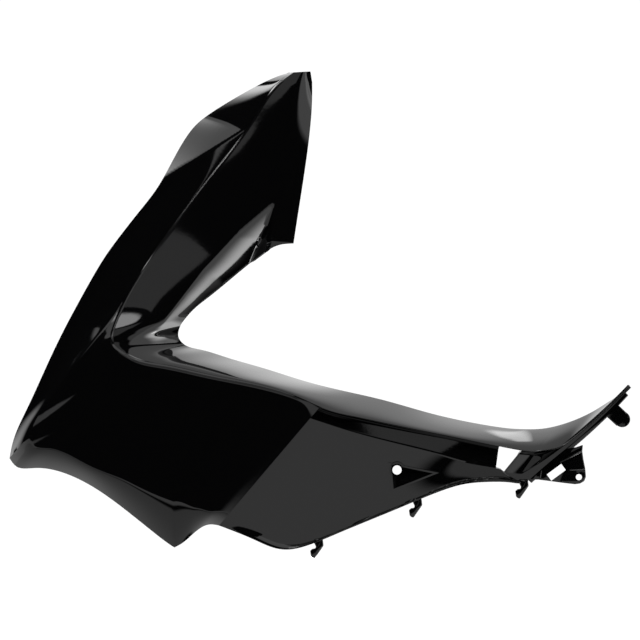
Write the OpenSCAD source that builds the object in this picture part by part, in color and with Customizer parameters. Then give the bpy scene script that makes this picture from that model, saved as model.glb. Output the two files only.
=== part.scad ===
// Side panel of a scooter: one moulded shell shaped like a boomerang.
// Its upper arm runs beside the front shield, its rear arm runs back under the seat.
// Units are millimetres. X points to the rear, Z up, Y from the outer face into the vehicle.
// The origin is the centre of the screw hole in the rear bracket, on the plate's outer face.

/* [Shell] */
// Length from the inner corner of the V forward to the foremost corner
front_len = 222; // [200:1:240]
// Length from the inner corner of the V back to the rear tip
rear_len = 590; // [540:1:640]
// Height from the inner corner of the V up to the top tip
top_h = 349; // [310:1:380]
// Height from the inner corner of the V down to the lowest edge of the shell
bottom_h = 275; // [245:1:300]
// Wall thickness
wall = 2.5; // [2:0.1:3.5]

/* [Depths behind the outermost skin] */
// Top tip
tip_y = 50; // [42:1:60]
// Leading edge beside the front shield
lead_y = 61; // [54:1:72]
// Foremost lower corner
chin_y = 55; // [48:1:66]
// Lowest pointed corner
keel_y = 36; // [31:1:42]
// Upper edge of the recessed floor, at the bottom of the channel
channel_y = 27; // [22:1:31]
// Bottom edge of the recessed floor
floor_y = 41; // [37:1:44]
// Edge of the V on the upper arm
arm_edge_y = 32; // [27:1:38]
// Upper edge of the rear arm
shoulder_edge_y = 39; // [34:1:44]
// Rear end of the shell
rear_y = 40; // [37:1:43]
// Extra slope of the facet above the fold in the leading face
fold_slope = 0.6; // [0.3:0.05:0.8]
// Slope at which the rolled edge of the V starts
roll_slope = 0.36; // [0.2:0.02:0.5]
// Height that the bottom lip stands above the floor
lip_h = 4; // [2:0.5:6]
// Width of the bottom lip
lip_w = 3.2; // [2.5:0.1:5]

/* [Rear bracket] */
// Depth of the bracket's outer face
bracket_y = 46; // [44:1:50]
// Thickness of the bracket and of the flange behind the rear edge
plate_t = 3; // [2.5:0.5:4]
// Diameter of the screw hole
screw_d = 8; // [6:0.5:9]
// Diameter of the pad round the screw hole
screw_pad_d = 16; // [14:0.5:18]
// Height of the pad behind the plate
screw_pad_h = 2; // [1:0.5:4]
// Length of the clip slot
slot_l = 23.4; // [20:0.2:25]
// Width of the clip slot
slot_w = 10; // [8:0.2:11]
// Angle of the clip slot
slot_angle = 36.5; // [30:0.5:42]
// Height of the screw seat above the plate
seat_step = 2; // [1:0.5:3]
// Height of the stiffening ribs on the bracket
rib_h = 4; // [2:0.5:6]
// Thickness of the stiffening ribs
rib_t = 2.2; // [1.6:0.1:3]

/* [Ear tab] */
// Radius of the ear
ear_r = 10.4; // [9:0.2:12]
// Width of the ear's raised rim
ear_rim = 2; // [1.5:0.1:3]
// Height of the ear's raised rim
ear_rim_h = 1.6; // [1:0.1:3]

/* [Hooks] */
// Width of a hook's stem
hook_stem = 11; // [9:0.5:13]
// Length of a hook below the edge
hook_drop = 22; // [18:0.5:26]
// Height of a hook's claw
hook_claw = 10; // [8:0.5:12]
// Reach of the claw in front of the stem
hook_reach = 5.5; // [4:0.5:8]
// Thickness of a hook along Y
hook_t = 9; // [6:0.5:14]

/* [Screw pocket] */
// Diameter of the hole in the pocket
pocket_d = 12; // [9:0.5:13]
// Depth of the pocket's seat below the floor
pocket_depth = 11; // [8:0.5:14]
// Diameter of the flat seat round the hole
seat_d = 16; // [14:0.5:20]
// Thickness of the seat
seat_t = 3; // [2:0.5:5]

/* [Hidden] */

// The shape is laid out on a drawing grid whose axes run to the rear and down.
// The grid's V corner, its extents and the driving lengths give the scale on each side of the corner.
corner = [180, 338];
drawn_front = 9;
drawn_rear = 633.6;
drawn_top = 69.5;
drawn_bottom = 549;
function grid_x(u) = u < corner[0] ? (u - corner[0]) * front_len / (corner[0] - drawn_front)
                                   : (u - corner[0]) * rear_len / (drawn_rear - corner[0]);
function grid_z(v) = v < corner[1] ? (corner[1] - v) * top_h / (corner[1] - drawn_top)
                                   : (corner[1] - v) * bottom_h / (drawn_bottom - corner[1]);
function on_grid(p) = [grid_x(p[0]), grid_z(p[1])];
screw_at = [578.9, 476.9];
origin = [grid_x(screw_at[0]), bracket_y, grid_z(screw_at[1])];

// Stations number the places along the V, from 0 at the top tip to last_station at the rear tip.
last_station = 34;
corner_station = 7;
step_station = 21;
window_from = 27;
window_to = 28;

// Leading edge, foremost corner, bottom edge and rear edge: station, then place on the grid
outer_rail = [[0, 289, 72.3], [1, 268.4, 79.8], [2, 237.8, 95.9], [3, 207, 115], [4, 190, 131],
    [5, 175.5, 154.5], [6, 158.5, 185.5], [7, 138.3, 212.3], [8, 116, 241], [9, 98, 267.6],
    [10, 76.5, 305.8], [11, 61.2, 334.9], [12, 45.9, 367], [13, 26, 410], [13.7, 11, 446],
    [14, 9, 458], [14.4, 16, 466.5], [15, 38.3, 468.3], [16, 83, 481], [17, 130, 513],
    [17.8, 168, 543], [18, 174, 547], [18.3, 180, 544.5], [19, 193, 533.5], [20, 207, 524.5],
    [21, 219, 525], [22, 255, 539.5], [23, 290, 549], [24, 340, 532], [25, 400, 507.3],
    [26, 455, 486], [26.6, 480, 482], [27, 497, 481.5], [28, 516.7, 483], [28.7, 526, 483],
    [29, 528.5, 480], [30, 545, 465.5], [31, 562, 451.5], [32, 583, 434], [33, 609.2, 409.4],
    [34, 630.5, 387]];
// Crease beside the leading edge, down round the corner, then the bottom of the channel
trough_rail = [[0, 291.5, 72.4], [1, 276, 83.7], [2, 262.3, 102], [3, 246.9, 126.5], [5, 214, 170.5],
    [7, 172, 226], [8, 152, 254.5], [9, 138, 275.5], [10, 124, 299.5], [11, 115.5, 319],
    [12, 111.2, 331], [13, 110.2, 338], [14, 111.5, 345.5], [15, 117, 351.5], [16, 128.6, 358.6],
    [17, 145.4, 364.7], [18, 172, 369.5], [19, 215, 379], [20, 270, 390.5], [20.5, 297, 399.5],
    [20.8, 307, 408], [21, 310.4, 417.7], [22, 345, 429], [24, 410, 446.5], [25, 440.7, 454.9],
    [26, 466, 462.5], [27, 495.8, 467.8], [28, 503.8, 471.4], [29, 521, 474], [30, 541, 462],
    [31, 559.5, 449], [32, 581.2, 432], [33, 607.8, 407.8], [34, 629.8, 386.3]];
// Upper side of that crease, then the lower edge of the shoulder
shoulder_rail = [[0, 294, 72.2], [1, 279, 86], [2, 265, 104], [3, 249.5, 128.5], [5, 216.5, 172.5],
    [7, 174.5, 228], [8, 154.5, 256.5], [9, 140.5, 277.5], [10, 127, 301], [11, 118.5, 320],
    [12, 114.5, 331], [13, 113.5, 337.5], [14, 114.5, 343.5], [15, 119, 348.5], [16, 130, 355.5],
    [17, 146.5, 361.5], [18, 173, 366], [19, 216, 375.5], [20, 271, 387], [20.5, 298, 396.5],
    [21, 320, 406.5], [22, 352, 415.5], [23, 387, 422.8], [25, 460, 437.5], [27, 498.8, 445.4],
    [28, 521.7, 449.6], [29, 536, 450.5], [30, 553, 448.5], [31, 563.5, 445], [32, 583, 429],
    [33, 608.8, 406], [34, 629.2, 385.8]];
// Free edge of the upper arm, the inner corner, then the upper edge of the rear arm
inner_rail = [[0, 310.5, 71.2], [1, 312.2, 82], [2, 312, 104], [3, 310, 130], [5, 302, 189],
    [6, 297, 221], [7, 293.6, 243.5], [7.4, 281, 244.6], [8, 265.3, 252], [9, 240, 271.4],
    [10, 214.3, 292.8], [11, 195.9, 307.4], [12, 186, 318], [13, 180.6, 325.7], [14, 178.3, 334.9],
    [15, 181.4, 341.8], [16, 189.8, 347.1], [17, 206.6, 351], [18, 232, 359], [19, 265, 368.5],
    [20, 305, 381], [22, 378, 398.5], [24, 440, 415.5], [26, 505, 427.7], [27, 523, 428.9],
    [28, 540.4, 428.6], [29, 557.6, 425.4], [30, 574.8, 419.7], [31, 592, 411.7], [32, 607, 402.5],
    [33, 620.7, 393.3], [34, 628.5, 384.8]];

// Depth along each rail up to the step into the floor: station, then depth
outer_depth = [[0, tip_y + 1], [1, tip_y + 2], [2, lead_y - 3], [3, lead_y + 2], [4, lead_y], [6, lead_y - 4],
    [8, lead_y - 12], [10, lead_y - 18], [12, chin_y - 13], [13, chin_y - 9], [14, chin_y],
    [15, chin_y - 10], [16, keel_y + 2], [18, keel_y], [19, keel_y - 3], [20, keel_y - 6], [21, keel_y - 7]];
trough_depth = [[0, tip_y], [2, tip_y - 8], [4, tip_y - 13], [6, tip_y - 18], [8, tip_y - 25], [10, 15],
    [12, 6], [14, 1.5], [16, 0], [19, 0], [20, 1], [21, 3]];
// The same two rails from the step to the rear tip
floor_outer_depth = [[21, floor_y - 10], [22, floor_y - 5], [23, floor_y - 1], [24, floor_y],
    [25, floor_y + 1], [27, floor_y], [28.7, rear_y], [34, rear_y]];
floor_trough_depth = [[21, channel_y - 7], [22, channel_y - 4], [24, channel_y - 2], [26, channel_y],
    [27, channel_y + 2], [28, channel_y + 7], [29, rear_y - 2], [31, rear_y - 0.8], [34, rear_y - 0.3]];
shoulder_depth = [[0, tip_y - 3], [2, tip_y - 10.5], [4, tip_y - 16], [6, tip_y - 21], [8, tip_y - 27.5],
    [10, 13.5], [12, 5.4], [14, 4], [15.5, 3], [17, 0.8], [19, 0.8], [21, 2], [23, 4], [25, 6], [27, 8],
    [29, 9], [30, 11], [31, 14], [32, 19], [33, 26], [34, rear_y - 0.6]];
inner_depth = [[0, tip_y + 3], [1.5, tip_y - 1], [3, tip_y - 6], [6, arm_edge_y + 5], [7, arm_edge_y + 3],
    [8, arm_edge_y], [10, arm_edge_y - 8], [12, arm_edge_y - 12], [13, arm_edge_y - 8],
    [14, shoulder_edge_y - 5], [16, shoulder_edge_y + 3], [18, shoulder_edge_y + 5],
    [20, shoulder_edge_y + 1], [22, shoulder_edge_y], [28, rear_y + 1], [31, rear_y + 1], [34, rear_y]];
// Share of the skin's width where it starts to turn in towards the outer edge, and how sharply it turns
turn_from = [[0, 0], [10, 0], [12, 0.25], [13, 0.5], [14, 0.8], [15, 0.83], [16, 0.87], [17, 0.8],
    [18, 0.74], [19, 0.83], [20, 0.9], [21, 0.89]];
turn_power = [[0, 1], [8, 1], [10, 1.1], [12, 1.3], [13, 1.5], [14, 1.6], [16, 1.5], [21, 1.5]];
// Outward swell of the skin below the crease
swell = [[0, 0], [11, 0], [14, 3], [16, 4], [21, 5]];
// How much the crease is rounded off on the side of the skin
crease_round = [[0, 1], [8, 0.7], [12, 0.2], [14, 0], [21, 0]];
// How sharply the arms turn in towards the inner edge: 1 is flat, more keeps the turn at the edge
arm_power = [[0, 6], [2, 4], [4, 2], [13, 2], [15, 1.4], [17, 1.2], [28, 1.25], [34, 1.2]];
// Hollow of the recessed floor between the channel and the lip
floor_sag = [[21, 0], [22, 1], [24, 2], [26, 2], [27, 0], [34, 0]];
// The channel's bed falls towards the shoulder over this share of its width, then the wall rises
channel_dip = 2.5;
wall_from = 0.8;
// Rolled edge of the V on the upper arm: where it starts, and the line at which it stops
roll_line = [[276, 201], [240, 231], [205, 268], [181, 300]];
roll_stop = [[275.5, 201], [268, 247]];
roll_curve = 0.006;
roll_stop_slope = 2;
// Ends of the fold across the leading face
fold_front = [164, 178];
fold_rear = [242, 131];

// Interpolation
function segment(keys, s, k = 0) = k >= len(keys) - 2 || s < keys[k + 1][0] ? k : segment(keys, s, k + 1);
function slope(keys, k, c) = (keys[k + 1][c] - keys[k][c]) / (keys[k + 1][0] - keys[k][0]);
function gentle(a, b) = a * b <= 0 ? 0 : 2 * a * b / (a + b);
function tangent(keys, k, c) = k == 0 ? slope(keys, 0, c)
    : k == len(keys) - 1 ? slope(keys, k - 1, c)
    : gentle(slope(keys, k - 1, c), slope(keys, k, c));
function hermite(a, b, ma, mb, h, t) =
    (2 * t ^ 3 - 3 * t ^ 2 + 1) * a + (t ^ 3 - 2 * t ^ 2 + t) * h * ma
    + (3 * t ^ 2 - 2 * t ^ 3) * b + (t ^ 3 - t ^ 2) * h * mb;
function along(keys, s, c = 1) =
    let (k = segment(keys, s), h = keys[k + 1][0] - keys[k][0], t = (s - keys[k][0]) / h)
    hermite(keys[k][c], keys[k + 1][c], tangent(keys, k, c), tangent(keys, k + 1, c), h, t);
function rail(keys, depths, s) = [grid_x(along(keys, s, 1)), along(depths, s), grid_z(along(keys, s, 2))];
function ease(t) = t <= 0 ? 0 : t >= 1 ? 1 : t * t * (3 - 2 * t);

function unit(v) = v / max(norm(v), 1e-6);
function between(a, b, t) = a + (b - a) * t;
function sunk(p, d) = [p[0], d, p[2]];

// Stations that carry a row of points; the step has a row on either side
step_gap = 0.12;
rows = concat([for (s = [0:0.5:step_station]) s], [step_station + step_gap],
    [for (s = [step_station + 0.5:0.5:last_station]) s]);
// Shares of the way from the trough to the outer edge, to the shoulder, and on to the inner edge
skin_cols = [1, 0.985, 0.96, 0.93, 0.89, 0.84, 0.77, 0.67, 0.55, 0.42, 0.29, 0.17, 0.07];
crease_cols = [0, 0.5, 0.8];
arm_cols = [0, 0.08, 0.2, 0.35, 0.5, 0.6, 0.68, 0.76, 0.84, 0.9, 0.95, 1];

function is_floor(s) = s > step_station + step_gap / 2;
function outer_at(s) = rail(outer_rail, is_floor(s) ? floor_outer_depth : outer_depth, s);
function trough_at(s) = rail(trough_rail, is_floor(s) ? floor_trough_depth : trough_depth, s);
function plan_width(a, b) = norm([b[0] - a[0], b[2] - a[2]]);

// Depth that the facet above the fold adds at a point
fold_origin = on_grid(fold_front);
fold_way = unit(on_grid(fold_rear) - fold_origin);
function fold_depth(p) =
    fold_slope * max(0, (p[2] - fold_origin[1]) * fold_way[0] - (p[0] - fold_origin[0]) * fold_way[1]);

// Signed distance of a point to the right of a line on the grid
function beside(p, line) =
    let (a = on_grid(line[0]), way = unit(on_grid(line[1]) - a))
    (p[0] - a[0]) * way[1] - (p[2] - a[1]) * way[0];
function roll_depth(p) =
    let (into = max(0, min([for (k = [0:2]) -beside(p, [roll_line[k], roll_line[k + 1]])])),
         before_stop = max(0, beside(p, roll_stop)))
    min(roll_slope * into + roll_curve * into ^ 2, roll_stop_slope * before_stop);

function lip_at(s, t, width) =
    s > 28.8 ? 0 : lip_h * ease((s - step_station) / 1.4) * ease((t - 1 + 2 * lip_w / width) * width / lip_w);
function floor_point(a, b, s, t) =
    let (p = between(a, b, t))
    sunk(p, p[1] + along(floor_sag, s) * sin(180 * t) - lip_at(s, t, plan_width(a, b)));
function side_point(a, b, s, t) =
    let (p = between(a, b, t),
         start = along(turn_from, s),
         turn = max(0, (t - start) / (1 - start)) ^ along(turn_power, s),
         out = along(swell, s))
    sunk(p, a[1] - out * t + (b[1] - a[1] + out) * turn + fold_depth(p) - fold_depth(a));
function skin_point(a, b, s, t) = is_floor(s) ? floor_point(a, b, s, t) : side_point(a, b, s, t);

function channel_point(a, b, t) =
    let (bed = a[1] + channel_dip * min(t / wall_from, 1))
    sunk(between(a, b, t), bed + (b[1] - bed) * ease((t - wall_from) / (1 - wall_from)));
function ridge_point(a, b, edge, s, t) =
    let (slope_in = (edge[1] - a[1]) / plan_width(a, edge) * along(crease_round, s),
         rise = slope_in * plan_width(a, b))
    sunk(between(a, b, t), a[1] + (b[1] - a[1]) * ease(t) - rise * t * (1 - t) ^ 2);
function crease_point(a, b, edge, s, t) =
    is_floor(s) ? channel_point(a, b, t) : ridge_point(a, b, edge, s, t);
function arm_point(a, b, s, t) =
    let (p = between(a, b, t))
    sunk(p, a[1] + (b[1] - a[1]) * t ^ along(arm_power, s) + roll_depth(p) * ease((13.5 - s) / 2));

function row_points(s) =
    let (o = outer_at(s),
         t = trough_at(s),
         h = rail(shoulder_rail, shoulder_depth, s),
         i = rail(inner_rail, inner_depth, s))
    concat([for (c = skin_cols) skin_point(t, o, s, c)],
           [for (c = crease_cols) crease_point(t, h, o, s, c)],
           [for (c = arm_cols) arm_point(h, i, s, c)]);

skin = [for (s = rows) row_points(s)];
nu = len(rows);
nv = len(skin[0]);
window_col = len(skin_cols);
window_cols = len(crease_cols);
function is_open(i, j) = rows[i] >= window_from - 0.01 && rows[i] < window_to - 0.01
    && j >= window_col && j < window_col + window_cols;
function inward(i, j) =
    let (a = skin[min(i + 1, nu - 1)][j] - skin[max(i - 1, 0)][j],
         b = skin[i][min(j + 1, nv - 1)] - skin[i][max(j - 1, 0)])
    unit(cross(unit(a), unit(b)));
lining = [for (i = [0:nu - 1]) [for (j = [0:nv - 1]) skin[i][j] + wall * inward(i, j)]];

function outer_id(i, j) = i * nv + j;
function inner_id(i, j) = nu * nv + i * nv + j;
function quad(a, b, c, d) = [[a, b, c], [a, c, d]];
cells = [for (i = [0:nu - 2]) for (j = [0:nv - 2]) if (!is_open(i, j)) [i, j]];
function has_cell(i, j) = i >= 0 && j >= 0 && i < nu - 1 && j < nv - 1 && !is_open(i, j);
function outer_cell(i, j) =
    quad(outer_id(i, j), outer_id(i + 1, j), outer_id(i + 1, j + 1), outer_id(i, j + 1));
function inner_cell(i, j) =
    quad(inner_id(i, j), inner_id(i, j + 1), inner_id(i + 1, j + 1), inner_id(i + 1, j));
// Rim of a cell that has no neighbour beyond the side from grid place a to b
function rim(a, b) =
    quad(outer_id(b[0], b[1]), outer_id(a[0], a[1]), inner_id(a[0], a[1]), inner_id(b[0], b[1]));
shell_faces = [for (c = cells) let (i = c[0], j = c[1]) each concat(
    outer_cell(i, j),
    inner_cell(i, j),
    has_cell(i, j - 1) ? [] : rim([i, j], [i + 1, j]),
    has_cell(i, j + 1) ? [] : rim([i + 1, j + 1], [i, j + 1]),
    has_cell(i - 1, j) ? [] : rim([i, j + 1], [i, j]),
    has_cell(i + 1, j) ? [] : rim([i + 1, j], [i + 1, j + 1]))];

// Places of the fixings on the grid
plate_y = bracket_y + seat_step;
slot_at = [556.3, 472];
ear_at = [622.3, 419.2];
pocket_at = [397, 469.7];
hooks = [[318.6, 541, 23.6], [417.3, 500.5, 25.2], [523.6, 481.5, 28.7]];
hook_root = 3;
bracket_outline = [[576, 447], [583, 444.5], [582.4, 451], [583.5, 459.2], [585.3, 468], [586, 476.5],
    [584.3, 481], [580, 483.3], [575, 484], [563.3, 482.7], [550.8, 481], [538.3, 479.4],
    [531.7, 479.6], [528, 476], [544, 462], [560, 449]];
leaf_from = 29;
leaf_to = 33.8;
web_to = 32;
leaf_w = 5.4;
leaf_lap = 2.6;
seat_outline = [[569.3, 469.3], [583.6, 468.6], [585.4, 469], [586, 476.5], [584.3, 481], [580, 483.3],
    [575, 484], [563.3, 482.7], [561.5, 480.7]];
ribs = [[[560, 461.9], [582.1, 450.8]], [[541.3, 469.8], [539.8, 477.8]]];
ear_neck = [[605, 415], [616, 402.5], [629.5, 415.4], [617, 426]];
scoop_outline = [[391.5, 464.5], [433, 473], [393.5, 488.5]];
scoop_grow = 0.22;
well_lap = 0.6;
scoop_floor = [27, 31, 35];
scoop_clear = 7;
pocket_station = 24.6;
pocket_share = 0.35;
pocket_y = floor_point(trough_at(pocket_station), outer_at(pocket_station), pocket_station, pocket_share)[1];

module shell() {
    polyhedron(points = [for (side = [skin, lining]) each [for (r = side) each r]], faces = shell_faces);
}

function drawn(outline) = [for (p = outline) on_grid(p)];

// Point beside the outer edge, d inside it in the side view
function edge_point(s) = [grid_x(along(outer_rail, s, 1)), grid_z(along(outer_rail, s, 2))];
function edge_offset(s, d) =
    let (t = unit(edge_point(s + 0.05) - edge_point(s - 0.05)))
    edge_point(s) + d * [-t[1], t[0]];
function along_edge(from, to, d0, d1) =
    concat([for (s = [from:0.4:to]) edge_offset(s, d0)], [for (s = [to:-0.4:from]) edge_offset(s, d1)]);

// Plate parallel to the XZ plane, from depth y inward
module slab(outline, y, t) {
    translate([0, y + t, 0])
        rotate([90, 0, 0])
            linear_extrude(t)
                polygon(outline);
}

// Cylinder along Y, from depth y inward
module pin(p, y, t, d) {
    translate([grid_x(p[0]), y, grid_z(p[1])])
        rotate([-90, 0, 0])
            cylinder(h = t, d = d, $fn = 64);
}

// Upright rib on the plate from one place to another
module rib(from, to) {
    side = unit([from[1] - to[1], to[0] - from[0]]) * rib_t / 2;
    slab([from - side, from + side, to + side, to - side], plate_y - rib_h, rib_h + 1);
}

// Flange behind the rear edge, widening into the bracket with its clip slot and screw seat
module rear_flange() {
    slab(along_edge(leaf_from, leaf_to, -leaf_w, leaf_lap), plate_y, plate_t);
    slab(along_edge(leaf_from - 0.5, web_to, 0.2, leaf_lap), rear_y + 0.8, plate_y - rear_y);
    slab(drawn(bracket_outline), plate_y, plate_t);
    slab(drawn(seat_outline), bracket_y, seat_step + 1);
    for (r = ribs)
        rib(on_grid(r[0]), on_grid(r[1]));
    pin(screw_at, plate_y, plate_t + screw_pad_h, screw_pad_d);
}

module ear_tab() {
    slab(drawn(ear_neck), plate_y, plate_t);
    pin(ear_at, plate_y, plate_t, 2 * ear_r);
    difference() {
        pin(ear_at, plate_y - ear_rim_h, ear_rim_h + 1, 2 * ear_r);
        pin(ear_at, plate_y - 2 * ear_rim_h, 2 * ear_rim_h, 2 * (ear_r - ear_rim));
    }
}

// Claw that opens forward, hanging from the bottom edge at a grid place
module hook(p, y) {
    half = hook_stem / 2;
    claw_top = hook_claw - hook_drop;
    translate([grid_x(p[0]), y + hook_t, grid_z(p[1])])
        rotate([90, 0, 0])
            linear_extrude(hook_t)
                polygon([[-half, hook_root], [half, hook_root], [half + 1, -hook_drop / 4],
                    [-half + 0.5, -hook_drop], [-half - 2.5, -hook_drop + 1],
                    [-half - hook_reach + 1, -hook_drop + 3], [-half - hook_reach, claw_top],
                    [-half - hook_reach / 2, claw_top + 2.5], [-half + 1.5, -hook_drop * 0.4],
                    [-half + 2, -hook_drop * 0.3], [-half, -hook_drop / 8]]);
}

// Slope of the floor round the scoop, along X and along Z
scoop_corners = drawn(scoop_outline);
floor_slope = let (a = scoop_corners[1] - scoop_corners[0], b = scoop_corners[2] - scoop_corners[0],
    c = scoop_floor[1] - scoop_floor[0], d = scoop_floor[2] - scoop_floor[0])
    [c * b[1] - d * a[1], d * a[0] - c * b[0]] / (a[0] * b[1] - a[1] * b[0]);

// Round wall of the screw seat, whose front end follows the slope of the floor
module seat_wall() {
    at = on_grid(pocket_at);
    front = scoop_floor[0] + floor_slope * (at - scoop_corners[0]) + well_lap;
    back = pocket_y + pocket_depth + seat_t;
    slope_part = back - front - seat_d * norm(floor_slope);
    multmatrix([[1, 0, 0, 0], [floor_slope[0], 1, floor_slope[1], -floor_slope * at], [0, 0, 1, 0]])
        pin(pocket_at, front, slope_part, seat_d + 2 * wall);
    pin(pocket_at, back - pocket_depth, pocket_depth, seat_d + 2 * wall);
}

// Wedge-shaped scoop, shallow at its rear point and deep at its front wall
module scoop(grow, front, y_extra) {
    centre = (scoop_outline[0] + scoop_outline[1] + scoop_outline[2]) / 3;
    edge = [for (p = scoop_outline) on_grid(centre + (p - centre) * (1 + grow))];
    depth = [pocket_depth, 1, pocket_depth];
    points = concat([for (k = [0:2]) [edge[k][0], scoop_floor[k] + front, edge[k][1]]],
        [for (k = [0:2]) [edge[k][0], pocket_y + depth[k] + y_extra, edge[k][1]]]);
    polyhedron(points, [[0, 1, 2], [3, 5, 4],
        [0, 3, 4], [0, 4, 1], [1, 4, 5], [1, 5, 2], [2, 5, 3], [2, 3, 0]]);
}

module side_panel() {
    color("black")
        translate(-origin)
            difference() {
                union() {
                    shell();
                    rear_flange();
                    ear_tab();
                    for (h = hooks)
                        hook(h, outer_at(h[2])[1] - lip_h + 0.5);
                    scoop(scoop_grow, well_lap, wall);
                    seat_wall();
                }
                scoop(0, -scoop_clear, 0);
                pin(pocket_at, pocket_y - 2 * scoop_clear, pocket_depth + 2 * scoop_clear, seat_d);
                pin(pocket_at, pocket_y, pocket_depth + 2 * seat_t, pocket_d);
                pin(screw_at, bracket_y - 1, plate_t + seat_step + screw_pad_h + 2, screw_d);
                translate([grid_x(slot_at[0]), plate_y + plate_t / 2, grid_z(slot_at[1])])
                    rotate([0, -slot_angle, 0])
                        cube([slot_l, 4 * plate_t, slot_w], center = true);
            }
}

side_panel();
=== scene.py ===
# Gloss black side panel of a scooter, dressed over its CAD frame and set in a plain white studio.
import math

import bmesh
import bpy
import numpy as np
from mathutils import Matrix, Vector


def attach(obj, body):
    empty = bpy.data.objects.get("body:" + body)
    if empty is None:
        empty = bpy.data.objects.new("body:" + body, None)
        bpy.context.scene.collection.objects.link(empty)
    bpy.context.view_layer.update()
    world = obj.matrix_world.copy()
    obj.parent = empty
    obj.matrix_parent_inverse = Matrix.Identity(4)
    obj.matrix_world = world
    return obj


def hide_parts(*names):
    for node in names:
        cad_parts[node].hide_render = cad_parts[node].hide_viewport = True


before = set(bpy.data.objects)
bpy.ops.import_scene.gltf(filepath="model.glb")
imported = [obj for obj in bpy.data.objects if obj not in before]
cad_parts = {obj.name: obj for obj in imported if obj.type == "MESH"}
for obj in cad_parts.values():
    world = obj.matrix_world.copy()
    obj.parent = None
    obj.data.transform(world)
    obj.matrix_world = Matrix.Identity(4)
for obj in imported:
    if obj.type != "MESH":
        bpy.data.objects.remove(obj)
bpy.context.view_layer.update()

MM = 0.001
NEAR = 1e-6

# Driving sizes in millimetres, as in the part's source
FRONT_LEN = 222
REAR_LEN = 590
TOP_H = 349
BOTTOM_H = 275
WALL = 2.5
BRACKET_Y = 46
SEAT_STEP = 2
PLATE_Y = BRACKET_Y + SEAT_STEP
PLATE_T = 3

# The drawing grid: its size, its V corner and the panel's extents, with axes to the rear and down
GRID_SIZE = 640
CORNER_U, CORNER_V = 180, 338
DRAWN_FRONT, DRAWN_REAR, DRAWN_TOP, DRAWN_BOTTOM = 9, 633.6, 69.5, 549
SCREW_AT = (578.9, 476.9)


def grid_x(u):
    """Length along X of a place on the grid, measured from the V corner."""
    front = FRONT_LEN / (CORNER_U - DRAWN_FRONT)
    rear = REAR_LEN / (DRAWN_REAR - CORNER_U)
    return (u - CORNER_U) * np.where(np.asarray(u) < CORNER_U, front, rear)


def grid_z(v):
    """Height of a place on the grid, measured from the V corner."""
    upper = TOP_H / (CORNER_V - DRAWN_TOP)
    lower = BOTTOM_H / (DRAWN_BOTTOM - CORNER_V)
    return (CORNER_V - v) * np.where(np.asarray(v) < CORNER_V, upper, lower)


ORIGIN = np.array([float(grid_x(SCREW_AT[0])), BRACKET_Y, float(grid_z(SCREW_AT[1]))])

# Rails of the shell: station, then place on the grid
OUTER = [[0, 289, 72.3], [1, 268.4, 79.8], [2, 237.8, 95.9], [3, 207, 115], [4, 190, 131],
         [5, 175.5, 154.5], [6, 158.5, 185.5], [7, 138.3, 212.3], [8, 116, 241], [9, 98, 267.6],
         [10, 76.5, 305.8], [11, 61.2, 334.9], [12, 45.9, 367], [13, 26, 410], [13.7, 12, 443],
         [14, 9, 458], [14.4, 17, 467], [15, 38.3, 467.8], [16, 83, 481], [17, 130, 513],
         [17.8, 169, 543.5], [18, 174.5, 547], [18.3, 181, 543.5], [19, 193, 533.5],
         [20, 207, 524.5], [21, 219, 525], [22, 255, 539.5], [23, 290, 549], [24, 340, 532],
         [25, 400, 507.3], [26, 455, 486], [26.6, 480, 482], [27, 497, 481.5], [28, 516.7, 483],
         [28.7, 526, 483], [29, 528.5, 480], [30, 545, 465.5], [31, 562, 451.5], [32, 583, 434],
         [33, 609.2, 409.4], [34, 630.5, 387]]
TROUGH = [[0, 291.5, 72.4], [1, 276, 83.7], [2, 262.3, 102], [3, 246.9, 126.5], [5, 214, 170.5],
          [7, 172, 226], [8, 152, 254.5], [9, 138, 275.5], [10, 124, 299.5], [11, 115.5, 319],
          [12, 111.2, 331], [13, 110.2, 338], [14, 111.5, 345.5], [15, 117, 351.5],
          [16, 128.6, 358.6], [17, 145.4, 364.7], [18, 172, 369.5], [19, 215, 379],
          [20, 270, 390.5], [20.5, 297, 399.5], [20.8, 307, 408], [21, 310.4, 417.7],
          [22, 345, 429], [24, 410, 446.5], [25, 440.7, 454.9], [26, 466, 462.5],
          [27, 495.8, 467.8], [28, 503.8, 471.4], [29, 521, 474], [30, 541, 462],
          [31, 559.5, 449], [32, 581.2, 432], [33, 607.8, 407.8], [34, 629.8, 386.3]]
SHOULDER = [[0, 294, 72.2], [1, 279, 86], [2, 265, 104], [3, 249.5, 128.5], [5, 216.5, 172.5],
            [7, 174.5, 228], [8, 154.5, 256.5], [9, 140.5, 277.5], [10, 127, 301],
            [11, 118.5, 320], [12, 114.5, 331], [13, 113.5, 337.5], [14, 114.5, 343.5],
            [15, 119, 348.5], [16, 130, 355.5], [17, 146.5, 361.5], [18, 173, 366],
            [19, 216, 375.5], [20, 271, 387], [20.5, 298, 396.5], [21, 320, 406.5],
            [22, 352, 415.5], [23, 387, 422.8], [25, 460, 437.5], [27, 498.8, 445.4],
            [28, 521.7, 449.6], [29, 536, 450.5], [30, 553, 448.5], [31, 563.5, 445],
            [32, 583, 429], [33, 608.8, 406], [34, 629.2, 385.8]]
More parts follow.
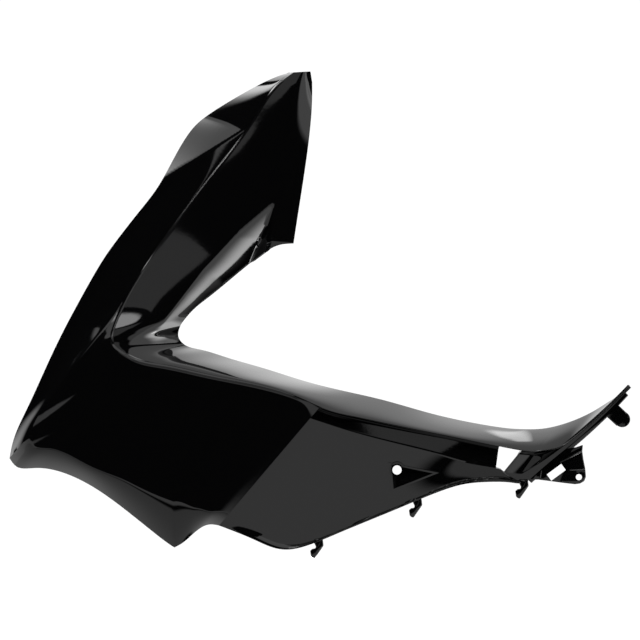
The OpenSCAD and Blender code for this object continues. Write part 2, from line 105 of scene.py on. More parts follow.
INNER = [[0, 310.5, 71.2], [1, 312.2, 82], [2, 312, 104], [3, 310, 130], [5, 302, 189],
         [6, 297, 221], [7, 293.6, 243.5], [7.4, 281, 244.6], [8, 265.3, 252], [9, 240, 271.4],
         [10, 214.3, 292.8], [11, 195.9, 307.4], [12, 186, 318], [13, 180.6, 325.7],
         [14, 178.3, 334.9], [15, 181.4, 341.8], [16, 189.8, 347.1], [17, 206.6, 351],
         [18, 232, 359], [19, 265, 368.5], [20, 305, 381], [22, 378, 398.5], [24, 440, 415.5],
         [26, 505, 427.7], [27, 523, 428.9], [28, 540.4, 428.6], [29, 557.6, 425.4],
         [30, 574.8, 419.7], [31, 592, 411.7], [32, 607, 402.5], [33, 620.7, 393.3],
         [34, 628.5, 384.8]]
OUTER_CORNERS = [14, 18, 21, 28.7, 29]
TROUGH_CORNERS = [21, 28, 29]
SHOULDER_CORNERS = [29]
INNER_CORNERS = [1, 7]

# Depths behind the outermost skin: station, then millimetres
OUTER_D = [[0, 51], [1, 54], [2, 58], [3, 60.5], [4, 60], [6, 57], [8, 49], [10, 43],
           [12, 42], [13, 46], [14, 55], [15, 45], [16, 38], [18, 36], [19, 33], [20, 30], [21, 29]]
FLOOR_OUTER_D = [[21, 31], [22, 36], [23, 40], [24, 41], [25, 42], [27, 41], [28.7, 40], [34, 40]]
TROUGH_D = [[0, 46.5], [2, 42], [4, 37], [6, 32], [8, 25], [10, 15], [12, 6], [14, 1.5],
            [16, 0], [19, 0], [20, 1], [21, 3]]
FLOOR_TROUGH_D = [[21, 20], [22, 23], [24, 25], [26, 27], [27, 29], [28, 34], [29, 38],
                  [31, 39.2], [34, 39.7]]
SHOULDER_D = [[0, 42.6], [2, 38.8], [4, 34], [6, 29], [8, 22.5], [10, 13.5], [12, 5.4], [14, 4],
              [15.5, 3], [17, 0.8], [19, 0.8], [21, 2], [23, 4], [25, 6], [27, 8], [29, 9], [30, 11],
              [31, 14], [32, 19], [33, 26], [34, 39.4]]
INNER_D = [[0, 53], [1.5, 49], [3, 44], [6, 37], [7, 35], [8, 32], [10, 24], [12, 20],
           [13, 24], [14, 34], [16, 42], [18, 44], [20, 40], [22, 39], [28, 41], [31, 41], [34, 40]]
# Where the skin starts to turn under, as a share of its width, and how sharply it turns
TURN_FROM = [[0, 0], [10, 0], [12, 0.25], [13, 0.5], [14, 0.8], [15, 0.83], [16, 0.87], [17, 0.8],
             [18, 0.74], [19, 0.83], [20, 0.9], [21, 0.89]]
TURN_POWER = [[0, 1.12], [5, 1.12], [8, 1], [10, 1.1], [12, 1.3], [13, 1.5], [14, 1.6],
              [16, 1.5], [21, 1.5]]
# How far the skin bulges, and the height of the rounded bead on the crease, in millimetres
SWELL = [[0, 0], [11, 0], [14, 3], [16, 4], [21, 5]]
BEAD = [[0, 0], [1, 0.8], [8, 1], [11, 0.9], [13, 0.7], [15, 1.1], [20, 1.2], [20.8, 0], [21, 0]]
# Share of the skin's slope that the crease takes over at its start
CREASE_ROUND = [[0, 1], [8, 0.7], [12, 0.2], [14, 0], [21, 0]]
# How sharply the arm turns away between the shoulder and the inner edge
ARM_POWER = [[0, 6], [2, 4], [4, 2], [7, 2], [8, 2], [10, 2], [12, 2], [13, 2], [15, 1.7],
             [17, 1.6], [19, 1.5], [20.5, 1.3], [22, 1.2], [28, 1.25], [34, 1.2]]
# Rolled edge of the V on the upper arm: where it starts and stops on the grid, its slopes, how softly
# it meets its stop, and the station where it has faded out
ROLL_LINE = [(276, 201), (240, 231), (205, 268), (181, 300)]
ROLL_STOP = [(275.5, 201), (268, 247)]
ROLL_SLOPE, ROLL_CURVE, ROLL_STOP_SLOPE, ROLL_BLEND = 0.36, 0.006, 1.2, 0.7
ROLL_END, ROLL_FADE = 13.5, 2
# Fold across the leading face: its ends on the grid and the extra slope above it
FOLD_FRONT, FOLD_REAR, FOLD_SLOPE = (164, 178), (242, 131), 0.6
# Flutes of the chin: line on the grid, width and the slopes of their two sides, then how fast they
# widen from their lower end
FLUTES = [([(12, 430), (83, 388)], 13, 0.14, 0.03), ([(28, 441), (101, 409)], 9, 0.13, 0.12)]
FLUTE_RISE, FLUTE_LEAD = 4, 1.4
# How far the recessed floor sags between the channel and the bottom edge
FLOOR_SAG = [[21, 0], [22, 1], [24, 2], [26, 2], [27, 0], [34, 0]]

# Stations of the step down to the floor, of the window and of the last row
STEP_AT = 21
WINDOW = (27, 28)
LAST = 34
# Lip of the bottom edge: its height and width, then the stations over which it rises and ends
LIP_H, LIP_W = 4, 3.2
LIP_RISE, LIP_END, LIP_FALL = 1.4, 28.8, 0.6
# The channel: how deep its bed dips, and where its wall starts as a share of the crease
CHANNEL_DIP = 2.5
CHANNEL_WALL_FROM = 0.8

# Fixings: places on the grid and sizes in millimetres
BRACKET = [[576, 447], [583, 444.5], [582.4, 451], [583.5, 459.2], [585.3, 468], [586, 476.5],
           [584.3, 481], [580, 483.3], [575, 484], [563.3, 482.7], [550.8, 481], [538.3, 479.4],
           [531.7, 479.6], [528, 476], [544, 462], [560, 449]]
SEAT = [[569.3, 469.3], [583.6, 468.6], [585.4, 469], [586, 476.5], [584.3, 481], [580, 483.3],
        [575, 484], [563.3, 482.7], [561.5, 480.7]]
UPPER_RIB = [[559.5, 461], [581.7, 449.8], [582.6, 451.8], [560.5, 462.8]]
SLOT_RIB = [[540.5, 469.6], [542.2, 470], [540.7, 478], [538.9, 477.6]]
RIB_H = 4
# Rounding of the fixings' edges, and the angles in degrees above which an edge is rounded or sharp
EDGE_ROUND, EDGE_STEPS, EDGE_ANGLE, SMOOTH_ANGLE = 1.2, 3, 40, 35
# How far one fixing reaches into the next
LAP = 1
FLANGE_SPAN, FLANGE_EDGES = (29, 33.8), (-5.4, 2.6)
WEB_SPAN, WEB_EDGES, WEB_Y, WEB_DEPTH = (28.5, 32), (0.2, 2.6), 40.8, 8
PAD_T, PAD_D = 2, 16
SCREW_D, SCREW_CUT_BEFORE, SCREW_CUT = 8, 2, 12
SLOT_AT, SLOT_ANGLE, SLOT_L, SLOT_W, SLOT_CUT = (556.3, 472), 36.5, 23.4, 10, 20
EAR_AT, EAR_R, EAR_RIM, EAR_RIM_H = (622.3, 419.2), 10.4, 2, 1.6
EAR_NECK = [[605, 415], [616, 402.5], [629.5, 415.4], [617, 426]]
HOOKS = [(318.6, 541, 37.2), (417.3, 500.5, 38.5), (523.6, 481.5, 36.5)]
HOOK_STEM, HOOK_DROP, HOOK_CLAW, HOOK_REACH, HOOK_T, HOOK_ROOT = 11, 22, 10, 5.5, 9, 3
SCOOP = [[391.5, 464.5], [433, 473], [393.5, 488.5]]
SCOOP_FLOOR = [27, 31, 35]
SCOOP_CLEAR, SCOOP_SHALLOW = 7, 1
WELL_GROW, WELL_LAP = 0.22, 0.6
POCKET_AT, POCKET_Y, POCKET_DEPTH, POCKET_D, POCKET_CUT = (397, 469.7), 33, 11, 12, 9
SEAT_D, SEAT_T = 16, 3
PIN_SIDES = 64


def natural_cubic(x, y, at):
    """Values at `at` of the natural cubic spline through the points (x, y)."""
    n = len(x)
    if n < 3:
        return np.interp(at, x, y)
    h = np.diff(x)
    a = np.eye(n)
    b = np.zeros(n)
    for k in range(1, n - 1):
        a[k, k - 1:k + 2] = h[k - 1], 2 * (h[k - 1] + h[k]), h[k]
        b[k] = 6 * ((y[k + 1] - y[k]) / h[k] - (y[k] - y[k - 1]) / h[k - 1])
    m = np.linalg.solve(a, b)
    k = np.clip(np.searchsorted(x, at, "right") - 1, 0, n - 2)
    t0, t1 = x[k + 1] - at, at - x[k]
    return ((m[k] * t0 ** 3 + m[k + 1] * t1 ** 3) / (6 * h[k])
            + (y[k] / h[k] - m[k] * h[k] / 6) * t0 + (y[k + 1] / h[k] - m[k + 1] * h[k] / 6) * t1)


def along(keys, at, column, corners):
    """One column of a rail at the stations `at`, sharp at its corners only."""
    keys = np.array(keys, float)
    at = np.atleast_1d(np.asarray(at, float))
    at_in = np.clip(at, keys[0, 0], keys[-1, 0])
    stops = [keys[0, 0], *[c for c in corners if keys[0, 0] < c < keys[-1, 0]], keys[-1, 0]]
    out = np.zeros(len(at))
    for low, high in zip(stops, stops[1:]):
        run = keys[(keys[:, 0] >= low) & (keys[:, 0] <= high)]
        here = (at_in >= low) & (at_in <= high)
        out[here] = natural_cubic(run[:, 0], run[:, column], at_in[here])
    return out


def gentle(keys, at):
    """Monotone interpolation, for depths that must not overshoot."""
    keys = np.array(keys, float)
    x, y = keys[:, 0], keys[:, 1]
    at = np.clip(np.atleast_1d(np.asarray(at, float)), x[0], x[-1])
    d = np.diff(y) / np.diff(x)
    m = np.zeros(len(x))
    m[0], m[-1] = d[0], d[-1]
    both = d[:-1] * d[1:] > 0
    m[1:-1][both] = 2 * d[:-1][both] * d[1:][both] / (d[:-1] + d[1:])[both]
    k = np.clip(np.searchsorted(x, at, "right") - 1, 0, len(x) - 2)
    h = x[k + 1] - x[k]
    t = (at - x[k]) / h
    return ((2 * t**3 - 3 * t**2 + 1) * y[k] + (t**3 - 2 * t**2 + t) * h * m[k]
            + (3 * t**2 - 2 * t**3) * y[k + 1] + (t**3 - t**2) * h * m[k + 1])


def smooth(t):
    """Eased step from 0 to 1."""
    t = np.clip(t, 0, 1)
    return t * t * (3 - 2 * t)


def rail_xz(keys, at, corners):
    """A rail's points in the side view at the stations `at`."""
    return np.stack([grid_x(along(keys, at, 1, corners)), grid_z(along(keys, at, 2, corners))], -1)


def fold_depth(xz):
    """Depth that the facet above the fold adds at points of the side view."""
    start = np.array([grid_x(FOLD_FRONT[0]), grid_z(FOLD_FRONT[1])])
    way = np.array([grid_x(FOLD_REAR[0]), grid_z(FOLD_REAR[1])]) - start
    way = way / np.linalg.norm(way)
    above = (xz[..., 1] - start[1]) * way[0] - (xz[..., 0] - start[0]) * way[1]
    return FOLD_SLOPE * np.maximum(above, 0)


def beside(xz, line):
    """Signed distance of points of the side view to the right of a line on the grid."""
    a, b = [np.array([float(grid_x(u)), float(grid_z(v))]) for u, v in line]
    way = (b - a) / np.linalg.norm(b - a)
    return (xz[..., 0] - a[0]) * way[1] - (xz[..., 1] - a[1]) * way[0]


def flute_depth(xz):
    """Two shallow flutes that rise from the chin, each pointed at its upper end."""
    depth = 0
    for line, width, slope, far_slope in FLUTES:
        a, b = [np.array([float(grid_x(u)), float(grid_z(v))]) for u, v in line]
        length = np.linalg.norm(b - a)
        way = (b - a) / length
        run = ((xz[..., 0] - a[0]) * way[0] + (xz[..., 1] - a[1]) * way[1]) / length
        wide = width * np.sqrt(np.clip(1 - run, 0, 1)) * smooth(run * FLUTE_RISE + FLUTE_LEAD)
        across = beside(xz, line)
        fall = slope * (np.clip(across, 0, None) - np.clip(across - wide, 0, None))
        depth = depth + np.clip(fall - far_slope * np.clip(across - wide, 0, None), 0, None)
    return depth


def roll_depth(xz):
    """Depth of the rolled edge of the V, which starts at a line and stops short of the arm's end."""
    into = -np.max([beside(xz, pair) for pair in zip(ROLL_LINE, ROLL_LINE[1:])], axis=0)
    into = np.maximum(into, 0)
    rolled = ROLL_SLOPE * into + ROLL_CURVE * into ** 2
    stopped = ROLL_STOP_SLOPE * np.maximum(beside(xz, ROLL_STOP), 0)
    return np.maximum(-np.logaddexp(-rolled / ROLL_BLEND, -stopped / ROLL_BLEND) * ROLL_BLEND, 0)


def crowded(count, low_power, high_power):
    """Shares from 0 to 1, closer together at the ends where the power is over 1."""
    t = np.linspace(0, 1, count)
    low, high = t ** low_power, 1 - (1 - t) ** high_power
    return low * (1 - t) + high * t


# Columns across the skin, the crease and the arm, as shares of each width
COLS_KNOT = 0.6
SKIN_COLS = np.concatenate([COLS_KNOT * crowded(26, 1.5, 1.6),
                            COLS_KNOT + (1 - COLS_KNOT) * crowded(17, 1.6, 1.6)[1:]])[::-1]
CREASE_COLS = np.array([0.1, 0.2, 0.3, 0.4, 0.5, 0.6, 0.7, 0.76, 0.8, 0.84, 0.88, 0.92, 0.96,
                        0.985])
ARM_COLS = crowded(57, 1.2, 1.9)
ROWS_PER_STATION = 11


def shell_rows(rows, floor):
    """Points of the outer surface for some stations, from the outer edge to the inner edge."""
    outer, trough = rail_xz(OUTER, rows, OUTER_CORNERS), rail_xz(TROUGH, rows, TROUGH_CORNERS)
    shoulder, inner = rail_xz(SHOULDER, rows, SHOULDER_CORNERS), rail_xz(INNER, rows, INNER_CORNERS)
    outer_d = gentle(FLOOR_OUTER_D if floor else OUTER_D, rows)[:, None]
    trough_d = gentle(FLOOR_TROUGH_D if floor else TROUGH_D, rows)[:, None]
    shoulder_d, inner_d = gentle(SHOULDER_D, rows)[:, None], gentle(INNER_D, rows)[:, None]
    s = rows[:, None]
    start = gentle(TURN_FROM, rows)[:, None]
    # One column follows the line where the skin starts to turn, so that the line stays sharp
    knot = np.full_like(s, COLS_KNOT) if floor else np.maximum(start, COLS_KNOT)
    t = np.minimum(SKIN_COLS[None, :] / COLS_KNOT, 1) * knot
    t = t + np.clip(SKIN_COLS[None, :] - COLS_KNOT, 0, None) / (1 - COLS_KNOT) * (1 - knot)
    width = np.linalg.norm(outer - trough, axis=1)[:, None]
    skin_xz = trough[:, None] + (outer - trough)[:, None] * t[..., None]
    if floor:
        sag = gentle(FLOOR_SAG, rows)[:, None] * np.sin(math.pi * t)
        lip = LIP_H * smooth((s - STEP_AT) / LIP_RISE) * smooth((LIP_END - s) / LIP_FALL)
        lip = lip * smooth((t - 1 + 2 * LIP_W / width) * width / LIP_W)
        skin_d = trough_d + (outer_d - trough_d) * t + sag - lip
    else:
        turn = np.clip((t - start) / (1 - start), 0, 1) ** gentle(TURN_POWER, rows)[:, None]
        swell = gentle(SWELL, rows)[:, None]
        skin_d = trough_d - swell * t + (outer_d - trough_d + swell) * turn
        skin_d = skin_d + fold_depth(skin_xz) - fold_depth(trough)[:, None] + flute_depth(skin_xz)
    c = CREASE_COLS[None, :]
    if floor:
        wall_share = smooth((c - CHANNEL_WALL_FROM) / (1 - CHANNEL_WALL_FROM))
        bed_d = trough_d + CHANNEL_DIP * np.minimum(c / CHANNEL_WALL_FROM, 1)
        crease_d = bed_d + (shoulder_d - bed_d) * wall_share
    else:
        rise = (outer_d - trough_d) / width * gentle(CREASE_ROUND, rows)[:, None]
        rise = rise * np.linalg.norm(shoulder - trough, axis=1)[:, None]
        crease_d = trough_d + (shoulder_d - trough_d) * c * c * (3 - 2 * c) - rise * c * (1 - c) ** 2
        crease_d = crease_d - gentle(BEAD, rows)[:, None] * np.sin(math.pi * c) ** 2
    crease_xz = trough[:, None] + (shoulder - trough)[:, None] * c[..., None]
    a = ARM_COLS[None, :]
    arm_d = shoulder_d + (inner_d - shoulder_d) * a ** gentle(ARM_POWER, rows)[:, None]
    arm_xz = shoulder[:, None] + (inner - shoulder)[:, None] * a[..., None]
    if not floor:
        arm_d = arm_d + roll_depth(arm_xz) * smooth((ROLL_END - s) / ROLL_FADE)
    xz = np.concatenate([skin_xz, crease_xz, arm_xz], 1)
    d = np.concatenate([skin_d, crease_d, arm_d], 1)
    return np.stack([xz[..., 0], d, xz[..., 1]], -1)


def make_shell():
    """The outer surface of the moulding as a grid of rows and columns, open at the window."""
    before = np.linspace(0, STEP_AT, STEP_AT * ROWS_PER_STATION + 1)
    after = np.linspace(STEP_AT, LAST, (LAST - STEP_AT) * ROWS_PER_STATION + 1)
    points = np.concatenate([shell_rows(before, False), shell_rows(after, True)])
    stations = np.concatenate([before, after])
    points = (points - ORIGIN) * MM
    ni, nj = points.shape[:2]
    bpy.ops.mesh.primitive_grid_add(x_subdivisions=ni - 1, y_subdivisions=nj - 1, size=2)
    shell = bpy.context.object
    shell.name = "side_panel_shell"
    for v in shell.data.vertices:
        i = round((v.co.x + 1) / 2 * (ni - 1))
        j = round((v.co.y + 1) / 2 * (nj - 1))
        v.co = points[i, j]
    window_cols = range(len(SKIN_COLS) - 1, len(SKIN_COLS) + len(CREASE_COLS))
    window_rows = (stations[:-1] > WINDOW[0] - NEAR) & (stations[:-1] < WINDOW[1] - NEAR)
    bm = bmesh.new()
    bm.from_mesh(shell.data)
    bm.faces.ensure_lookup_table()
    lost = [face for k, face in enumerate(bm.faces)
            if window_rows[k % (ni - 1)] and k // (ni - 1) in window_cols]
    bmesh.ops.delete(bm, geom=lost, context="FACES")
    bm.to_mesh(shell.data)
    bm.free()
    return shell


def apply(obj, kind, name, **values):
    """Add a modifier with these settings and apply it."""
    mod = obj.modifiers.new(name, kind)
    for key, value in values.items():
        setattr(mod, key, value)
    bpy.context.view_layer.objects.active = obj
    bpy.ops.object.modifier_apply(modifier=mod.name)


def soften(part, width):
    """Round the sharp edges of a part."""
    apply(part, "BEVEL", "soft_edges", width=width * MM, segments=EDGE_STEPS, limit_method="ANGLE",
          angle_limit=math.radians(EDGE_ANGLE))


def drawn(outline):
    """Grid places as (x, z) in millimetres."""
    return [(float(grid_x(u)), float(grid_z(v))) for u, v in outline]


def edge_offset(station, distance):
    """A point beside the outer edge, `distance` inside it in the side view."""
    reach = 0.05
    a, p, b = rail_xz(OUTER, np.array([station - reach, station, station + reach]), OUTER_CORNERS)
    t = (b - a) / np.linalg.norm(b - a)
    return tuple(p + distance * np.array([-t[1], t[0]]))


def along_edge(span, edges, step=0.25):
    """Outline of a strip beside the outer edge, between two stations and two offsets."""
    stations = np.arange(span[0], span[1] + step / 2, step)
    outer_side = [edge_offset(s, edges[0]) for s in stations]
    return outer_side + [edge_offset(s, edges[1]) for s in stations[::-1]]


def slab(name, outline, y, thickness):
    """A flat plate parallel to the XZ plane, from depth y inward, in millimetres."""
    bpy.ops.mesh.primitive_circle_add(vertices=len(outline), fill_type="NGON")
    plate = bpy.context.object
    plate.name = name
    for v, (x, z) in zip(plate.data.vertices, outline):
        v.co = Vector((x - ORIGIN[0], y - ORIGIN[1], z - ORIGIN[2])) * MM
    bpy.ops.object.mode_set(mode="EDIT")
    bpy.ops.mesh.select_all(action="SELECT")
    bpy.ops.mesh.extrude_region_move(TRANSFORM_OT_translate={"value": (0, thickness * MM, 0)})
    bpy.ops.mesh.select_all(action="SELECT")
    bpy.ops.mesh.normals_make_consistent(inside=False)
    bpy.ops.object.mode_set(mode="OBJECT")
    return plate


def pin(name, at, y, length, diameter):
    """A cylinder along Y at a grid place, from depth y inward."""
    x, z = drawn([at])[0]
    centre = Vector((x - ORIGIN[0], y + length / 2 - ORIGIN[1], z - ORIGIN[2])) * MM
    bpy.ops.mesh.primitive_cylinder_add(vertices=PIN_SIDES, radius=diameter / 2 * MM, depth=length * MM,
                                        location=centre, rotation=(math.pi / 2, 0, 0))
    cylinder = bpy.context.object
    cylinder.name = name
    bpy.ops.object.transform_apply(location=True, rotation=True, scale=True)
    return cylinder


def combine_solid(target, tool, operation, solver="EXACT"):
    """Join a tool to the target or cut it out, and remove the tool."""
    apply(target, "BOOLEAN", operation.lower(), object=tool, operation=operation, solver=solver)
    bpy.data.objects.remove(tool)


def hook(name, at, y):
    """A claw that opens forward, hanging from the bottom edge at a grid place."""
    half, drop, claw_top = HOOK_STEM / 2, HOOK_DROP, HOOK_CLAW - HOOK_DROP
    x0, z0 = drawn([at])[0]
    profile = [(-half, HOOK_ROOT), (half, HOOK_ROOT), (half + 1, -drop / 4), (-half + 0.5, -drop),
               (-half - 2.5, 1 - drop), (-half - HOOK_REACH + 1, 3 - drop), (-half - HOOK_REACH, claw_top),
               (-half - HOOK_REACH / 2, claw_top + 2.5), (-half + 1.5, -drop * 0.4),
               (-half + 2, -drop * 0.3), (-half, -drop / 8)]
    return slab(name, [(x0 + x, z0 + z) for x, z in profile], y, HOOK_T)


def make_flange():
    """The flange behind the rear edge with the bracket, its seat and ribs, and the ear tab."""
    flange = slab("flange", along_edge(FLANGE_SPAN, FLANGE_EDGES), PLATE_Y, PLATE_T)
    parts = [slab("web", along_edge(WEB_SPAN, WEB_EDGES), WEB_Y, WEB_DEPTH),
             slab("plate", drawn(BRACKET), PLATE_Y, PLATE_T),
             slab("seat", drawn(SEAT), BRACKET_Y, SEAT_STEP + LAP),
             slab("upper_rib", drawn(UPPER_RIB), PLATE_Y - RIB_H, RIB_H + LAP),
             slab("slot_rib", drawn(SLOT_RIB), PLATE_Y - RIB_H, RIB_H + LAP),
             pin("pad", SCREW_AT, PLATE_Y, PLATE_T + PAD_T, PAD_D),
             slab("ear_neck", drawn(EAR_NECK), PLATE_Y, PLATE_T),
             pin("ear", EAR_AT, PLATE_Y, PLATE_T, 2 * EAR_R)]
    rim = pin("ear_rim", EAR_AT, PLATE_Y - EAR_RIM_H, EAR_RIM_H + LAP, 2 * EAR_R)
    dish_y, dish_d = PLATE_Y - 2 * EAR_RIM_H, 2 * (EAR_R - EAR_RIM)
    combine_solid(rim, pin("ear_dish", EAR_AT, dish_y, 2 * EAR_RIM_H, dish_d), "DIFFERENCE")
    for part in [flange, rim] + parts:
        soften(part, EDGE_ROUND)
    for part in parts + [rim]:
        combine_solid(flange, part, "UNION")
    screw_hole = pin("screw_hole", SCREW_AT, BRACKET_Y - SCREW_CUT_BEFORE, SCREW_CUT, SCREW_D)
    combine_solid(flange, screw_hole, "DIFFERENCE")
    x, z = drawn([SLOT_AT])[0]
    centre = Vector((x, PLATE_Y, z)) * MM - Vector(ORIGIN) * MM
    bpy.ops.mesh.primitive_cube_add(size=1, location=centre, rotation=(0, -math.radians(SLOT_ANGLE), 0),
                                    scale=(SLOT_L * MM, SLOT_CUT * MM, SLOT_W * MM))
    bpy.ops.object.transform_apply(location=True, rotation=True, scale=True)
    combine_solid(flange, bpy.context.object, "DIFFERENCE")
    return flange


def floor_slope():
    """Slope of the floor round the scoop along X and along Z."""
    p = np.array(drawn(SCOOP))
    return np.linalg.solve(p[1:] - p[0], np.array(SCOOP_FLOOR[1:]) - SCOOP_FLOOR[0])


def scoop(name, grow, front, extra):
    """The wedge-shaped recess in the floor, shallow at its rear point and deep at its front."""
    centre = np.mean(np.array(SCOOP), 0)
    outline = drawn([centre + (np.array(p) - centre) * (1 + grow) for p in SCOOP])
    blank = 1
    wedge = slab(name, outline, 0, blank)
    depth = [POCKET_DEPTH, SCOOP_SHALLOW, POCKET_DEPTH]
    for v in wedge.data.vertices:
        place = np.array(v.co) / MM + ORIGIN
        k = int(np.argmin([math.dist(place[[0, 2]], p) for p in outline]))
        behind = place[1] > blank / 2
        y = POCKET_Y + depth[k] + extra if behind else SCOOP_FLOOR[k] + front
        v.co.y = (y - ORIGIN[1]) * MM
    return wedge


def seat_wall():
    """Round wall of the screw seat, whose front end follows the slope of the floor."""
    corner, at = np.array(drawn(SCOOP))[0], np.array(drawn([POCKET_AT]))[0]
    front = SCOOP_FLOOR[0] + float(floor_slope() @ (at - corner)) + WELL_LAP
    back = POCKET_Y + POCKET_DEPTH + SEAT_T
    wall = pin("boss", POCKET_AT, front, back - front, SEAT_D + 2 * WALL)
    for v in wall.data.vertices:
        place = np.array(v.co) / MM + ORIGIN
        if place[1] < (front + back) / 2:
            v.co.y += float(floor_slope() @ (place[[0, 2]] - at)) * MM
    return wall


def add_scoop(shell):
    """The well behind the floor and the wall of the screw seat, then the scoop, seat and hole."""
    front, cut = POCKET_Y - 2 * SCOOP_CLEAR, POCKET_DEPTH + 2 * SCOOP_CLEAR
    for tool, operation in (
            (scoop("well", WELL_GROW, WELL_LAP, WALL), "UNION"),
            (seat_wall(), "UNION"),
            (scoop("scoop", 0, -SCOOP_CLEAR, 0), "DIFFERENCE"),
            (pin("seat_cut", POCKET_AT, front, cut, SEAT_D), "DIFFERENCE"),
            (pin("hole", POCKET_AT, POCKET_Y, POCKET_DEPTH + POCKET_CUT, POCKET_D), "DIFFERENCE")):
        combine_solid(shell, tool, operation, "MANIFOLD")


def join_fixings(shell, fixings):
    """Give the fixings the gloss finish and make them one mesh with the shell."""
    for part in fixings:
        part.data.materials.clear()
        part.data.materials.append(shell.data.materials[0])
    bpy.ops.object.select_all(action="DESELECT")
    for part in fixings + [shell]:
        part.select_set(True)
    bpy.context.view_layer.objects.active = shell
    bpy.ops.object.join()


def gloss_material():
    """Gloss black plastic with a faint orange peel."""
    mat = bpy.data.materials.new("gloss_black_plastic")
    mat.use_nodes = True
    nodes, links = mat.node_tree.nodes, mat.node_tree.links
    shader = nodes["Principled BSDF"]
    shader.inputs["Base Color"].default_value = (0.003, 0.003, 0.0033, 1)
    shader.inputs["IOR"].default_value = 1.5
    coords = nodes.new("ShaderNodeTexCoord")
    peel = nodes.new("ShaderNodeTexNoise")
    peel.inputs["Scale"].default_value = 260
    peel.inputs["Detail"].default_value = 2
    links.new(coords.outputs["Object"], peel.inputs["Vector"])
    bump = nodes.new("ShaderNodeBump")
    bump.inputs["Strength"].default_value = 0.02
    bump.inputs["Distance"].default_value = 0.0004
    links.new(peel.outputs["Fac"], bump.inputs["Height"])
    links.new(bump.outputs["Normal"], shader.inputs["Normal"])
    haze = nodes.new("ShaderNodeTexNoise")
    haze.inputs["Scale"].default_value = 9
    links.new(coords.outputs["Object"], haze.inputs["Vector"])
    rough = nodes.new("ShaderNodeMapRange")
    rough.inputs["To Min"].default_value = 0.03
    rough.inputs["To Max"].default_value = 0.06
    links.new(haze.outputs["Fac"], rough.inputs["Value"])
    links.new(rough.outputs["Result"], shader.inputs["Roughness"])
    return mat


def inner_material():
    """Dull black of the moulding's inner face, with a fine grain."""
    mat = bpy.data.materials.new("moulded_black_inner_face")
    mat.use_nodes = True
    nodes, links = mat.node_tree.nodes, mat.node_tree.links
    shader = nodes["Principled BSDF"]
    shader.inputs["Base Color"].default_value = (0.012, 0.012, 0.0125, 1)
    shader.inputs["IOR"].default_value = 1.5
    coords = nodes.new("ShaderNodeTexCoord")
    grain = nodes.new("ShaderNodeTexNoise")
    grain.inputs["Scale"].default_value = 900
    links.new(coords.outputs["Object"], grain.inputs["Vector"])
    bump = nodes.new("ShaderNodeBump")
    bump.inputs["Strength"].default_value = 0.25
    bump.inputs["Distance"].default_value = 0.0003
    links.new(grain.outputs["Fac"], bump.inputs["Height"])
    links.new(bump.outputs["Normal"], shader.inputs["Normal"])
    rough = nodes.new("ShaderNodeMapRange")
    rough.inputs["To Min"].default_value = 0.38
    rough.inputs["To Max"].default_value = 0.5
    links.new(grain.outputs["Fac"], rough.inputs["Value"])
    links.new(rough.outputs["Result"], shader.inputs["Roughness"])
    return mat


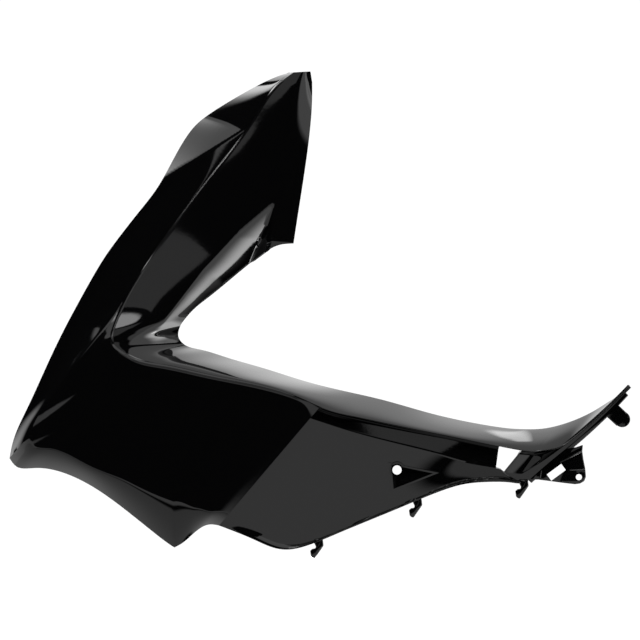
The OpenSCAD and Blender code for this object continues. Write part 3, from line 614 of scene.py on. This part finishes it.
def studio():
    """White studio as a world of soft light patches, each a range of directions round the panel."""
    world = bpy.data.worlds.new("white_studio")
    bpy.context.scene.world = world
    world.use_nodes = True
    nodes, links = world.node_tree.nodes, world.node_tree.links
    background = nodes["Background"]
    coords = nodes.new("ShaderNodeTexCoord")
    split = nodes.new("ShaderNodeSeparateXYZ")
    links.new(coords.outputs["Generated"], split.inputs[0])

    def ramp(source, low, high, to_low, to_high):
        node = nodes.new("ShaderNodeMapRange")
        node.interpolation_type = "SMOOTHSTEP"
        node.inputs["From Min"].default_value = low
        node.inputs["From Max"].default_value = high
        node.inputs["To Min"].default_value = to_low
        node.inputs["To Max"].default_value = to_high
        links.new(source, node.inputs["Value"])
        return node.outputs["Result"]

    def combine(kind, a, b):
        node = nodes.new("ShaderNodeMath")
        node.operation = kind
        links.new(a, node.inputs[0])
        links.new(b, node.inputs[1])
        return node.outputs[0]

    def brightest(*lights):
        total = lights[0]
        for light in lights[1:]:
            total = combine("MAXIMUM", total, light)
        return total

    def times(*factors):
        total = factors[0]
        for factor in factors[1:]:
            total = combine("MULTIPLY", total, factor)
        return total

    # A direction runs to the rear (side), upwards (up) and inwards, away from the camera (deep)
    side, up, deep = split.outputs["X"], split.outputs["Z"], split.outputs["Y"]
    above = ramp(up, 0.5, 0.51, 0, 1)
    rear_softbox = times(above, ramp(deep, 0.3, 0.62, 2.6, 3.6), ramp(deep, -0.16, 0.3, 0.45, 1),
                         ramp(side, -0.51, -0.5, 0, 1))
    front_softbox = times(above, ramp(deep, 0.03, 0.26, 1.2, 9.0), ramp(side, -0.51, -0.5, 1, 0),
                          ramp(deep, -0.06, -0.05, 0, 1), ramp(side, -0.745, -0.72, 0, 1),
                          ramp(deep, 0.32, 0.36, 1, 0))
    side_wall = times(ramp(side, 0.34, 0.42, 0, 1), ramp(deep, -0.7, -0.4, 1.2, 8),
                      ramp(deep, -0.36, -0.32, 1, 0), ramp(up, 0.25, 0.3, 1, 0),
                      ramp(side, 0.76, 0.88, 1, 0.3))
    low_front = ramp(up, -0.6, -0.45, 0, 0.78)
    far_front = times(ramp(deep, -0.72, -0.6, 0, 0.6), ramp(side, 0.42, 0.48, 1, 0))
    front_floor = times(ramp(up, -0.12, -0.05, 1, 0), brightest(low_front, far_front))
    shoulder_lamp = times(ramp(up, 0.8, 0.88, 0, 8), ramp(side, -0.02, 0.11, 0, 1),
                          ramp(side, 0.15, 0.19, 1, 0), ramp(deep, 0.05, 0.15, 0, 1),
                          ramp(deep, 0.45, 0.6, 1, 0))
    arm_card = times(ramp(deep, -0.9, -0.92, 0, 0.56), ramp(up, 0.155, 0.16, 0, 1),
                     ramp(up, 0.36, 0.365, 1, 0), ramp(side, 0.11, 0.12, 1, 0),
                     ramp(side, -0.1, -0.07, 0, 1))
    corner_card = times(ramp(up, 0.41, 0.45, 0, 5), ramp(deep, -0.75, -0.7, 1, 0),
                        ramp(side, 0.05, 0.07, 1, 0), ramp(side, -0.2, -0.15, 0, 1))
    low_strip = times(ramp(up, -0.66, -0.63, 18, 0), ramp(deep, -0.52, -0.46, 0, 1),
                      ramp(deep, -0.3, -0.2, 1, 0), ramp(side, 0.45, 0.5, 0, 1),
                      ramp(side, 0.56, 0.58, 1, 0))
    backdrop = ramp(deep, 0.75, 0.9, 0.0, 1.0)
    light = brightest(rear_softbox, front_softbox, side_wall, front_floor, shoulder_lamp, arm_card,
                      corner_card, low_strip, backdrop)
    # The camera itself sees an even white instead of the patches
    path = nodes.new("ShaderNodeLightPath")
    seen = nodes.new("ShaderNodeMix")
    seen.data_type = "FLOAT"
    links.new(path.outputs["Is Camera Ray"], seen.inputs["Factor"])
    links.new(light, seen.inputs["A"])
    seen.inputs["B"].default_value = 1.05
    links.new(seen.outputs["Result"], background.inputs["Strength"])
    background.inputs["Color"].default_value = (1, 1, 1, 1)


def floor():
    """Pale floor below the panel, which its gloss doesn't mirror."""
    span, height = 60, -0.6
    bpy.ops.mesh.primitive_plane_add(size=span, location=(0, 0, height))
    plane = bpy.context.object
    plane.name = "floor"
    mat = bpy.data.materials.new("pale_floor")
    mat.use_nodes = True
    shader = mat.node_tree.nodes["Principled BSDF"]
    shader.inputs["Base Color"].default_value = (0.86, 0.86, 0.86, 1)
    shader.inputs["Roughness"].default_value = 0.9
    shader.inputs["Emission Color"].default_value = (1, 1, 1, 1)
    shader.inputs["Emission Strength"].default_value = 1
    plane.data.materials.append(mat)
    plane.visible_glossy = False
    plane.visible_diffuse = False


def camera():
    """Long lens square to the side view, framed on the whole drawing grid."""
    lens, sensor = 800, 36
    frame_width = GRID_SIZE * REAR_LEN / (DRAWN_REAR - CORNER_U) * MM
    data = bpy.data.cameras.new("camera")
    data.lens = lens
    data.sensor_width = sensor
    data.clip_end = 100
    obj = bpy.data.objects.new("camera", data)
    bpy.context.scene.collection.objects.link(obj)
    centre_x = (float(grid_x(GRID_SIZE / 2)) - ORIGIN[0]) * MM
    centre_z = (float(grid_z(GRID_SIZE / 2)) - ORIGIN[2]) * MM
    obj.location = (centre_x, -frame_width * lens / sensor, centre_z)
    obj.rotation_euler = (math.pi / 2, 0, 0)
    bpy.context.scene.camera = obj


bpy.ops.object.select_all(action="DESELECT")
shell = make_shell()
shell.data.materials.append(gloss_material())
shell.data.materials.append(inner_material())
apply(shell, "SOLIDIFY", "wall", thickness=WALL * MM, offset=-1, material_offset=1,
      material_offset_rim=0)
add_scoop(shell)
hooks = [hook(f"hook_{k}", (u, v), y) for k, (u, v, y) in enumerate(HOOKS)]
for part in hooks:
    soften(part, EDGE_ROUND)
join_fixings(shell, [make_flange()] + hooks)
bpy.ops.object.shade_smooth_by_angle(angle=math.radians(SMOOTH_ANGLE))
shell.data.validate()
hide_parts("side_panel")
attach(shell, "root")
studio()
floor()
camera()
bpy.context.scene.view_settings.view_transform = "Standard"
